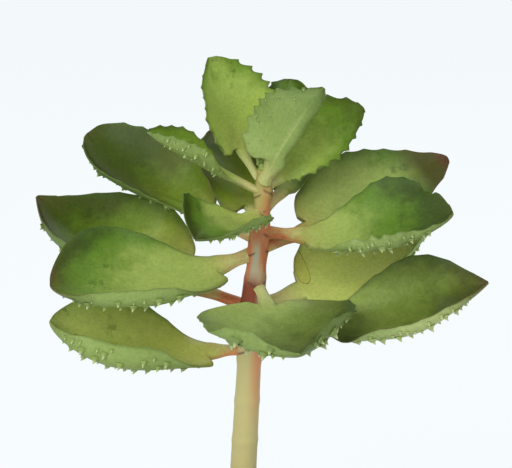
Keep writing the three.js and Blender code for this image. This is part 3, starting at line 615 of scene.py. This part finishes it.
# Shader helpers
class Shader:
    """A node material with one Principled shader, built up by short calls."""

    def __init__(self, name):
        self.material = bpy.data.materials.new(name)
        self.material.use_nodes = True
        self.tree = self.material.node_tree
        self.bsdf = self.tree.nodes["Principled BSDF"]
        self.coords = self.tree.nodes.new("ShaderNodeTexCoord").outputs["Object"]

    def link(self, source, socket):
        if isinstance(source, bpy.types.NodeSocket):
            self.tree.links.new(source, socket)
        else:
            socket.default_value = source

    def set(self, **values):
        for key, value in values.items():
            self.link(value, self.bsdf.inputs[key.replace("_", " ")])

    def node(self, kind, output, inputs, **settings):
        """One of a new node's outputs, after its settings and inputs are set."""
        node = self.tree.nodes.new("ShaderNode" + kind)
        for key, value in settings.items():
            setattr(node, key, value)
        for key, value in inputs.items():
            self.link(value, node.inputs[key])
        return node.outputs[output]

    def attribute(self, name):
        return self.node("Attribute", "Fac", {}, attribute_name=name)

    def math(self, operation, a, b, clamp=False):
        return self.node("Math", 0, {0: a, 1: b}, operation=operation, use_clamp=clamp)

    def plus(self, a, b):
        return self.math("ADD", a, b)

    def times(self, a, b, clamp=False):
        return self.math("MULTIPLY", a, b, clamp)

    def about_zero(self, noise, weight):
        """A noise shifted to vary about zero, by the given weight."""
        return self.times(self.math("SUBTRACT", noise, 0.5), weight)

    def span(self, value, low, high, to_low=0.0, to_high=1.0):
        """A soft step from to_low, where the value is at low, to to_high, where it is at high."""
        inputs = {"Value": value, "From Min": low, "From Max": high, "To Min": to_low, "To Max": to_high}
        return self.node("MapRange", "Result", inputs, interpolation_type="SMOOTHSTEP")

    def mix(self, factor, a, b):
        a, b = (c if isinstance(c, bpy.types.NodeSocket) else (*c, 1.0) for c in (a, b))
        return self.node("Mix", 2, {"Factor": factor, 6: a, 7: b}, data_type="RGBA")

    def scaled(self, colour, amount):
        return self.node("VectorMath", 0, {0: colour, "Scale": amount}, operation="SCALE")

    def stretched(self, x, y, z):
        return self.node("Mapping", "Vector", {"Vector": self.coords, "Scale": (x, y, z)})

    def noise(self, scale, detail, roughness, vector=None):
        inputs = {"Vector": vector or self.coords, "Scale": scale, "Detail": detail, "Roughness": roughness}
        return self.node("TexNoise", "Fac", inputs)

    def cells(self, scale):
        return self.node("TexVoronoi", "Distance", {"Vector": self.coords, "Scale": scale})

    def rings(self, scale, distortion):
        inputs = {"Vector": self.coords, "Scale": scale, "Distortion": distortion}
        return self.node("TexWave", "Fac", inputs, bands_direction="Z")

    def height(self):
        return self.node("SeparateXYZ", "Z", {0: self.coords})

    def bump(self, height, distance, strength, under=None):
        inputs = {"Distance": distance, "Strength": strength, "Height": height}
        if under:
            inputs["Normal"] = under
        return self.node("Bump", "Normal", inputs)


# Leaf finish: colours from the blade's base to its tip, at its margin and beneath
LEAF_COLOURS = dict(
    old_leaf=dict(fresh=(0.25, 0.34, 0.064), middle=(0.11, 0.16, 0.011), deep=(0.034, 0.052, 0.003)),
    mature_leaf=dict(fresh=(0.25, 0.325, 0.07), middle=(0.086, 0.168, 0.013), deep=(0.028, 0.053, 0.004)),
    crown_leaf=dict(fresh=(0.25, 0.355, 0.068), middle=(0.092, 0.178, 0.013), deep=(0.039, 0.075, 0.005)),
)
# Painted light: a pale green that lightens leaves lying in the shade of others
PAINTED_LIGHT_PALE = (0.40, 0.46, 0.108)
RIM = (0.055, 0.10, 0.02)
OLIVE = (0.22, 0.225, 0.012)
UNDER_PALE = (0.20, 0.275, 0.075)
UNDER_DEEP = (0.09, 0.14, 0.035)
# Pale whitish underside, partly a painted highlight on the curled margins
UNDER_WHITE = (0.38, 0.45, 0.17)
STALK_GREEN = (0.42, 0.43, 0.17)
STALK_RED = (0.50, 0.15, 0.06)
DUSK = (0.058, 0.060, 0.012)
BROWN = (0.085, 0.038, 0.020)
# Greyish waxy film on the upper side, partly a painted sheen
BLOOM_AND_SHEEN = (0.175, 0.225, 0.115)
WART_TIP = (0.46, 0.50, 0.25)
SCAR_YELLOW = (0.40, 0.38, 0.04)
SCAR_LINE = (0.16, 0.10, 0.02)


def leaf_depth(s, along, across, clouds, mottle):
    """How deep the green is: it grows to the tip, to the margin, partly as painted shade where the blade
    curls, and, with slant, to one side as painted light and shade.
    """
    # Darker towards the margin: partly the margin's own deeper green, partly painted shade where the blade
    # curls away
    depth = s.plus(s.times(along, s.attribute("fade")), s.span(across, 0.35, 1.0, -0.02, 0.3))
    # Painted light and shade: one side of the blade darker than the other
    depth = s.plus(depth, s.times(s.attribute("side_shading"), s.attribute("aside")))
    # Painted light and shade over the whole leaf, together with its own depth of green
    depth = s.plus(depth, s.attribute("tone_and_painted_light"))
    depth = s.plus(depth, s.about_zero(clouds, 0.8))
    return s.plus(depth, s.about_zero(mottle, 0.38))


def leaf_top(s, colours, depth, along, across, clouds):
    """The upper side: three greens, a pale green of painted light, a yellow base, a dark rim, bruises and a
    greyish waxy film that is partly a painted sheen.
    """
    top = s.mix(s.span(depth, 0.2, 0.75), colours["fresh"], colours["middle"])
    top = s.mix(s.span(depth, 0.7, 1.2), top, colours["deep"])
    # Painted light: where the depth falls below zero the green turns pale, lightening leaves that lie in
    # shade
    top = s.mix(s.span(depth, 0.0, -0.8), top, PAINTED_LIGHT_PALE)
    yellow = s.times(s.span(along, 0.75, 0.1, 0.25, 0.9), s.span(clouds, 0.3, 0.55, 0.6, 1.0))
    top = s.mix(s.times(s.attribute("yellow"), yellow, clamp=True), top, OLIVE)
    top = s.mix(s.span(across, 0.8, 0.98, 0, 0.4), top, RIM)
    bruise = s.span(s.noise(120, 5, 0.7), 0.56, 0.66, 0, 0.5)
    top = s.mix(s.times(bruise, s.span(along, 0.35, 0.7, 0.15, 1.0)), top, colours["deep"])
    # The waxy film near the tip and in cloudy patches, partly a painted sheen
    patch = s.times(s.span(along, 0.45, 0.85), s.span(clouds, 0.36, 0.56))
    patch = s.times(s.math("MAXIMUM", patch, 0.4), s.span(depth, 1.1, 0.4, 0.4, 1.0))
    return s.mix(s.times(s.times(patch, s.attribute("bloom_and_sheen")), 0.6), top, BLOOM_AND_SHEEN)


def leaf_below(s, depth, along, across, clouds):
    """The underside, paler, with whitish patches that are partly a painted highlight, and the stalk's
    colour running out along the midrib.
    """
    below = s.mix(s.span(depth, 0.4, 1.8), UNDER_PALE, UNDER_DEEP)
    # Whitish patches of the underside, partly a painted highlight
    white = s.times(s.attribute("pale"), s.span(clouds, 0.3, 0.6, 0.4, 1.0), clamp=True)
    below = s.mix(white, below, UNDER_WHITE)
    midrib = s.times(s.span(across, 0.09, 0.0), s.span(along, 0.9, 0.3, 0, 0.35))
    return s.mix(midrib, below, STALK_GREEN)


def leaf_margin(s, skin, along, across, under, clouds):
    """A darker rim, and the dusky tip and brown margin that blush brings."""
    edge = s.times(s.span(under, 0.02, 0.2), s.span(under, 0.98, 0.8))
    rim = s.math("MAXIMUM", s.times(edge, 0.28), s.span(across, 0.955, 0.995, 0, 0.2))
    skin = s.mix(rim, skin, RIM)
    tip = s.plus(along, s.times(clouds, 0.12))
    blush = s.attribute("blush")
    dusky = s.span(s.plus(tip, s.times(blush, 0.1)), 0.86, 1.1, 0, 0.75)
    skin = s.mix(s.times(dusky, blush, clamp=True), skin, DUSK)
    brown = s.math("MAXIMUM", s.times(edge, 0.5), s.span(tip, 0.97, 1.06, 0, 0.6))
    return s.mix(s.times(brown, blush, clamp=True), skin, BROWN)


def leaf_marks(s, skin, along, mottle):
    """The stalk's streaks of red, the healed patch with its dark outline, and pale tooth tips."""
    streaks = s.noise(60, 4, 0.6, s.stretched(1.0, 1.0, 2.5))
    red = s.times(s.attribute("red_stalk"), s.span(streaks, 0.25, 0.65))
    skin = s.mix(s.span(along, 0.22, -0.6), skin, s.mix(red, STALK_GREEN, STALK_RED))
    scar = s.plus(s.attribute("scar"), s.about_zero(mottle, 0.35))
    skin = s.mix(s.span(scar, 0.0, 0.2, 0, 0.3), skin, SCAR_YELLOW)
    line = s.times(s.span(scar, -0.07, 0.0), s.span(scar, 0.09, 0.02))
    skin = s.mix(s.times(line, 0.75), skin, SCAR_LINE)
    return s.mix(s.span(s.attribute("wart"), 0.1, 0.9, 0, 0.85), skin, WART_TIP)


def leaf_material(slot, colours):
    s = Shader(slot)
    along, across, under = s.attribute("along"), s.attribute("across"), s.attribute("under")
    clouds = s.noise(30, 3, 0.55)
    mottle = s.noise(170, 4, 0.65)
    depth = leaf_depth(s, along, across, clouds, mottle)
    top = leaf_top(s, colours, depth, along, across, clouds)
    below = leaf_below(s, depth, along, across, clouds)
    skin = s.mix(s.span(under, 0.35, 0.65), top, below)
    skin = leaf_margin(s, skin, along, across, under, clouds)
    skin = leaf_marks(s, skin, along, mottle)
    skin = s.scaled(skin, s.span(s.noise(520, 3, 0.7), 0.3, 0.7, 0.9, 1.09))
    pores = s.bump(s.noise(1300, 2, 0.5), 0.00012, 0.35)
    swell = s.bump(s.noise(110, 3, 0.5), 0.0010, 0.35, pores)
    s.set(Base_Color=skin, Roughness=s.span(clouds, 0.2, 0.8, 0.36, 0.5), Normal=swell)
    s.set(Subsurface_Weight=0.1, Subsurface_Radius=(0.6, 1.0, 0.1), Subsurface_Scale=0.002)
    s.set(Specular_IOR_Level=0.1)
    return s.material


# Stem finish: colours, and the heights in metres between which each one comes or goes
# The greyish streak colour, and the heights where it fades, are a painted highlight
STEM_COLOURS = dict(
    yellow=(0.4, 0.36, 0.15), pink=(0.5, 0.23, 0.1), salmon=(0.48, 0.16, 0.065), red=(0.19, 0.045, 0.018),
    pale=(0.46, 0.34, 0.19), highlight_grey=(0.37, 0.35, 0.22), cream=(0.31, 0.275, 0.085), scar=(0.08, 0.035, 0.02),
)
STEM_BANDS = dict(
    flush=(0.155, 0.214), middle=(0.210, 0.220), red=(0.224, 0.238), red_ends=(0.268, 0.255),
    grey_ends=(0.290, 0.276), tender=(0.294, 0.316),
)


def stem_material():
    """Yellow at the foot, then streaked salmon with a painted highlight of pale greyish streaks down the
    front and back, a dark red stretch, and cream at the top.
    """
    s = Shader("stem")
    colours, bands = STEM_COLOURS, STEM_BANDS
    height, side = s.attribute("height"), s.attribute("side")
    streaks = s.noise(80, 5, 0.65, s.stretched(1.0, 1.0, 0.28))
    threads = s.noise(240, 5, 0.65, s.stretched(1.0, 1.0, 0.18))
    blotch = s.noise(30, 3, 0.5)
    flush = s.plus(side, s.times(threads, 0.5))
    pink = s.times(s.span(height, *bands["flush"]), s.span(flush, 0.0, 0.95))
    foot = s.mix(pink, colours["yellow"], colours["pink"])
    middle = s.mix(s.span(streaks, 0.46, 0.64), colours["salmon"], colours["pale"])
    # Painted highlight: pale greyish streaks down the stem's front and back, a little to the left
    highlight_grey = s.times(s.span(flush, -0.5, 0.0), s.span(flush, 0.65, 0.3))
    highlight_grey = s.times(s.times(highlight_grey, s.span(height, *bands["grey_ends"])), s.span(threads, 0.3, 0.55))
    middle = s.mix(highlight_grey, middle, colours["highlight_grey"])
    red = s.times(s.span(height, *bands["red"]), s.span(height, *bands["red_ends"]))
    middle = s.mix(s.times(red, s.span(flush, 0.75, 0.25, 0.45, 1.0)), middle, colours["red"])
    skin = s.mix(s.span(height, *bands["middle"]), foot, middle)
    salmon = s.times(s.span(threads, 0.35, 0.6), s.span(flush, -0.3, 0.7, 0.0, 0.4))
    tender = s.mix(salmon, colours["cream"], colours["salmon"])
    top = s.plus(height, s.times(s.math("SUBTRACT", blotch, side), 0.008))
    skin = s.mix(s.span(top, *bands["tender"]), skin, tender)
    skin = s.mix(s.span(threads, 0.62, 0.75, 0, 0.3), skin, colours["pale"])
    skin = s.mix(s.times(s.attribute("scar"), 0.9), skin, colours["scar"])
    fine = s.bump(s.noise(900, 3, 0.6, s.stretched(1.0, 1.0, 0.25)), 0.00015, 0.4)
    grooves = s.bump(streaks, 0.0010, 0.5, fine)
    s.set(Base_Color=skin, Roughness=s.span(streaks, 0.2, 0.8, 0.4, 0.6), Normal=grooves)
    s.set(Subsurface_Weight=0.1, Subsurface_Radius=(0.8, 0.6, 0.2), Subsurface_Scale=0.002)
    s.set(Specular_IOR_Level=0.25)
    return s.material


# Pot, soil and floor finish
CLAY = dict(
    plain=(0.50, 0.22, 0.115), dark=(0.38, 0.15, 0.075), salts=(0.62, 0.47, 0.36), grain=(0.30, 0.12, 0.06),
)
EARTH = dict(
    dark=(0.022, 0.014, 0.009), dry=(0.085, 0.055, 0.035), bark=(0.16, 0.10, 0.06), grit=(0.62, 0.60, 0.55),
)
SALTS_HEIGHT = 0.12


def pot_material():
    """Clay with blotches, turning marks and a pale bloom of salts that is strongest low down."""
    s = Shader("terracotta")
    grain = s.noise(420, 4, 0.7)
    skin = s.mix(s.span(s.noise(14, 5, 0.6), 0.3, 0.7), CLAY["plain"], CLAY["dark"])
    low = s.span(s.height(), SALTS_HEIGHT, 0.0, 0.35, 1.0)
    skin = s.mix(s.times(s.span(s.noise(30, 6, 0.7), 0.48, 0.72), low), skin, CLAY["salts"])
    skin = s.mix(s.times(s.span(grain, 0.6, 0.75), 0.35), skin, CLAY["grain"])
    turned = s.bump(s.rings(90, 1.5), 0.0004, 0.3, s.bump(grain, 0.0005, 0.6))
    s.set(Base_Color=skin, Roughness=s.span(grain, 0.2, 0.8, 0.82, 0.95), Normal=turned)
    s.set(Specular_IOR_Level=0.25)
    return s.material


def soil_material():
    s = Shader("soil")
    clods = s.noise(260, 5, 0.7)
    kind = s.attribute("kind")
    skin = s.mix(s.span(clods, 0.35, 0.7), EARTH["dark"], EARTH["dry"])
    skin = s.mix(s.span(kind, 0.4, 0.6), skin, EARTH["bark"])
    skin = s.mix(s.span(kind, 1.4, 1.6), skin, EARTH["grit"])
    lumps = s.bump(clods, 0.0015, 0.9)
    s.set(Base_Color=skin, Roughness=0.95, Normal=s.bump(s.cells(900), 0.0006, 0.6, lumps))
    s.set(Specular_IOR_Level=0.15)
    return s.material


def floor_material():
    """A pale ground that glows evenly, so that the plant stands before plain white."""
    s = Shader("floor")
    s.set(Base_Color=(0.06, 0.0625, 0.065, 1.0), Roughness=0.9, Specular_IOR_Level=0.0)
    s.set(Emission_Color=(0.93, 0.975, 1.0, 1.0), Emission_Strength=0.93)
    return s.material


MATERIALS = {slot: leaf_material(slot, colours) for slot, colours in LEAF_COLOURS.items()}
MATERIALS.update(stem=stem_material(), terracotta=pot_material(), soil=soil_material())


def finish_piece(piece, node, slot):
    piece.data.materials.append(MATERIALS[slot])
    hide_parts(node)
    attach(piece, "root")


# Build the leaves
SLOTS = {entry["node"]: entry["material_slot"] for entry in frame["record"]["subparts"]}

for index, (node, shape) in enumerate(LEAVES.items()):
    leaf = {**LEAF_DEFAULTS, **LOOK_DEFAULTS, **shape}
    finish_piece(leaf_mesh(node.replace("leaf_", "blade_"), leaf, index + 1), node, SLOTS[node])


# Build the stem
def build_stem():
    around, rows = STEM_GRID["around"], STEM_GRID["rows"]
    z = np.linspace(STEM_LINE[0, 2], STEM_LINE[-1, 2], rows)
    angle = np.linspace(0, 2 * math.pi, around, endpoint=False)
    ridges = STEM_RIDGES["depth"] * np.cos(STEM_RIDGES["count"] * angle)
    ridges = ridges[None, :] * smooth(*STEM_RIDGES["rise"], z)[:, None]
    radius = stem_radius(z[:, None], angle[None, :]) + ridges
    ring = np.stack([np.cos(angle), np.sin(angle), np.zeros_like(angle)], -1)
    points = stem_centre(z)[:, None] + ring[None] * radius[..., None]
    scar = np.zeros((rows, around))
    for shape in LEAVES.values():
        turn = np.abs(turn_from(angle, shape["azimuth"]))[None, :]
        line = shape["height"] - LEAF_SCAR["below"] + LEAF_SCAR["rise"] * turn
        mark = np.exp(-((z[:, None] - line) / LEAF_SCAR["width"]) ** 2)
        scar = np.maximum(scar, mark * smooth(*LEAF_SCAR["ends"], turn))
    values = dict(
        height=np.repeat(z * MM, around), side=np.tile(np.cos(angle), rows), scar=scar.ravel(),
    )
    return make_mesh("stem_flesh", points.reshape(-1, 3), tube_faces(rows, around), values)


finish_piece(build_stem(), "stem", "stem")


# Build the growing tip
def build_growing_tip():
    seat = STEM_LINE[-1, 2] + GAP
    fine = Gathered(**LEAF_VALUES, **dict.fromkeys(LOOK_DEFAULTS, 0.0))
    for pair in TIP["pairs"]:
        for turn in (0, 180):
            leaf = {**LEAF_DEFAULTS, **TIP["leaf"], **pair}
            leaf["azimuth"] += turn
            leaf["height"] = seat + leaf["petiole"]
            leaf["half"] = [pair["half"]] * 2
            points, faces, values = leaf_rings(leaf, TIP_GRID)
            fine.add(points, faces, **values)
    around, rows = TIP["dome_around"], TIP["dome_rows"]
    dome = []
    for i in range(rows):
        lift = math.pi / 2 * i / rows
        dome += ring_points(TIP["dome"] * math.cos(lift), TIP["dome"] * math.sin(lift), around)
    fine.add(stem_centre(seat) + np.array(dome), tube_faces(rows, around), **TIP["dome_looks"])
    return fine.mesh("tip_leaves")


finish_piece(build_growing_tip(), "growing_tip", "crown_leaf")


# Build the pot
def wall_radius(z):
    """The pot's outer radius below its band."""
    return POT["base"] + (POT["rim"] - POT["step"] - POT["base"]) * z / POT_LEDGE


def rounded(profile, radius, steps=4, share=0.45):
    """The profile with its corners cut by short arcs of about the given radius, or a share of a side."""
    points = [profile[0]]
    for before, corner, after in zip(profile, profile[1:], profile[2:]):
        p, q, r = (np.array(v, float) for v in (before, corner, after))
        cut = min(radius, share * np.linalg.norm(p - q), share * np.linalg.norm(r - q))
        start = q + unit(p - q) * cut
        end = q + unit(r - q) * cut
        for s in np.linspace(0, 1, steps + 1):
            points.append(tuple((1 - s) ** 2 * start + 2 * s * (1 - s) * q + s * s * end))
    points.append(profile[-1])
    return points


def cut_drain_hole(pot, middle):
    points = []
    for z in (-POT["floor"], 2 * POT["floor"]):
        points += ring_points(DRAIN["radius"], z, DRAIN["around"], middle)
    cutter = make_mesh("drain_hole", points, tube_faces(2, DRAIN["around"]))
    cut = pot.modifiers.new("hole", "BOOLEAN")
    cut.operation = "DIFFERENCE"
    cut.solver = "EXACT"
    cut.object = cutter
    bpy.context.view_layer.objects.active = pot
    bpy.ops.object.modifier_apply(modifier=cut.name)
    bpy.data.objects.remove(cutter)


def build_pot():
    top, rim, wall, edge, floor = POT["height"], POT["rim"], POT["wall"], POT["edge"], POT["floor"]
    profile = [
        (AXIS, 0), (POT["base"], 0), (wall_radius(POT_LEDGE), POT_LEDGE), (rim - edge, POT_LEDGE),
        (rim, top), (rim - wall, top), (rim - wall - edge, POT_LEDGE + wall),
        (wall_radius(POT_LEDGE) - wall, POT_LEDGE), (wall_radius(floor) - wall, floor), (AXIS, floor),
    ]
    profile = rounded(profile, POT["round"])
    points = []
    for r, z in profile:
        points += ring_points(r, z, POT["around"])
    pot = make_mesh("clay_pot", points, tube_faces(len(profile), POT["around"]))
    for x, y, _ in ring_points(DRAIN["ring"], 0, DRAIN["count"]):
        cut_drain_hole(pot, (x, y))
    return pot


finish_piece(build_pot(), "pot", "terracotta")


# Build the soil
def soil_top(x, y):
    """The soil's height: heaped round the stem, with broad lumps, finer ones and small ripples."""
    mound = SOIL["mound"] * np.exp(-(np.hypot(x, y) / SOIL["mound_radius"]) ** 2)
    broad_x, broad_y, fine_x, fine_y = SOIL["lump_lengths"]
    lumps = np.sin(x / broad_x + 1) * np.cos(y / broad_y)
    lumps = lumps + SOIL["fine_lumps"] * np.sin(x / fine_x - y / fine_y)
    along, stray, across = SOIL["ripple_turns"]
    ripples = SOIL["ripples"] * np.sin(x * along + 2 * np.sin(y * stray)) * np.cos(y * across - x)
    return SOIL["top"] + mound + SOIL["lumps"] * lumps + ripples


def loose_bit(random, centre, size, flat):
    """A small broken lump: a low ball with its corners pushed in and out."""
    source = bmesh.new()
    bmesh.ops.create_icosphere(source, subdivisions=1, radius=1)
    spots = np.array([v.co for v in source.verts])
    faces = [tuple(v.index for v in face.verts) for face in source.faces]
    source.free()
    spots = spots * random.uniform(*BITS["corners"], (len(spots), 1))
    spots = spots * np.array([1, random.uniform(*BITS["narrow"]), flat])
    angle = random.uniform(0, 2 * math.pi)
    c, s = math.cos(angle), math.sin(angle)
    turn = np.array([[c, -s, 0], [s, c, 0], [0, 0, 1]])
    return spots @ turn.T * size + centre, faces


def bit_kind(number):
    """The first kind whose turn it is."""
    return next(kind for kind in BIT_KINDS.values() if number % kind["one_in"] == kind["first"])


def build_soil():
    side = POT["rim"] - POT["wall"] - POT["edge"] - GAP
    bottom = POT["floor"] + GAP
    around = SOIL["around"]
    angle = np.linspace(0, 2 * math.pi, around, endpoint=False)
    rings = [
        (AXIS, bottom), (wall_radius(POT["floor"]) - POT["wall"] - SOIL["foot"], bottom),
        (wall_radius(POT_LEDGE) - POT["wall"] - GAP, POT_LEDGE + GAP),
        (side, POT_LEDGE + POT["wall"] + GAP), (side, SOIL["top"] - SOIL["shoulder"]),
    ]
    points = [np.stack([r * np.cos(angle), r * np.sin(angle), np.full(around, z)], -1) for r, z in rings]
    for r in np.linspace(side, SOIL["inner"], SOIL["rings"]):
        x, y = r * np.cos(angle), r * np.sin(angle)
        points.append(np.stack([x, y, soil_top(x, y)], -1))
    fine = Gathered(kind=BIT_KINDS["crumb"]["kind"])
    fine.add(np.concatenate(points), tube_faces(len(points), around))
    random = np.random.default_rng(BITS["seed"])
    for number in range(BITS["count"]):
        radius = side * math.sqrt(random.uniform(*BITS["area"]))
        turn = random.uniform(0, 2 * math.pi)
        x, y = radius * math.cos(turn), radius * math.sin(turn)
        bit = bit_kind(number)
        size = random.uniform(*bit["size"])
        centre = np.array([x, y, soil_top(x, y) + BITS["rise"] * size])
        spots, faces = loose_bit(random, centre, size, bit["flat"])
        fine.add(spots, faces, kind=bit["kind"])
    return fine.mesh("soil_crumbs")


finish_piece(build_soil(), "soil", "soil")


# Floor, light and camera, in metres
FLOOR_SIDE = 12
WORLD = dict(colour=(0.95, 0.98, 1.0, 1.0), strength=0.5)
LAMP_AIM = (0.01, 0, 0.28)
LAMPS = dict(
    key=dict(place=(-0.9, -1.5, 1.3), size=1.3, watts=40),
    fill=dict(place=(1.3, -1.0, 0.8), size=0.9, watts=7),
    back=dict(place=(0.5, 1.2, 1.5), size=0.8, watts=10),
)
CAMERA = dict(target=(0.0096, 0.0, 0.2873), distance=1.1, elevation=15, width=0.3072, sensor=36)


def build_floor():
    side = FLOOR_SIDE / MM
    square = [(-side, -side, 0), (side, -side, 0), (side, side, 0), (-side, side, 0)]
    floor = make_mesh("floor", square, [(0, 1, 2, 3)])
    floor.data.materials.append(floor_material())


def build_light():
    world = bpy.data.worlds.new("studio")
    bpy.context.scene.world = world
    world.use_nodes = True
    background = world.node_tree.nodes["Background"]
    background.inputs["Color"].default_value = WORLD["colour"]
    background.inputs["Strength"].default_value = WORLD["strength"]
    for name, values in LAMPS.items():
        lamp = bpy.data.lights.new(name, "AREA")
        lamp.size = values["size"]
        lamp.energy = values["watts"]
        holder = bpy.data.objects.new(name, lamp)
        holder.location = values["place"]
        aim = Vector(LAMP_AIM) - Vector(values["place"])
        holder.rotation_euler = aim.to_track_quat("-Z", "Y").to_euler()
        bpy.context.scene.collection.objects.link(holder)


def build_camera():
    data = bpy.data.cameras.new("view")
    data.sensor_width = CAMERA["sensor"]
    data.lens = CAMERA["sensor"] * CAMERA["distance"] / CAMERA["width"]
    camera = bpy.data.objects.new("view", data)
    elevation = math.radians(CAMERA["elevation"])
    back = Vector((0, -math.cos(elevation), math.sin(elevation)))
    camera.location = Vector(CAMERA["target"]) + back * CAMERA["distance"]
    camera.rotation_euler = (-back).to_track_quat("-Z", "Y").to_euler()
    bpy.context.scene.collection.objects.link(camera)
    bpy.context.scene.camera = camera


build_floor()
build_light()
build_camera()
bpy.context.scene.view_settings.view_transform = "Standard"
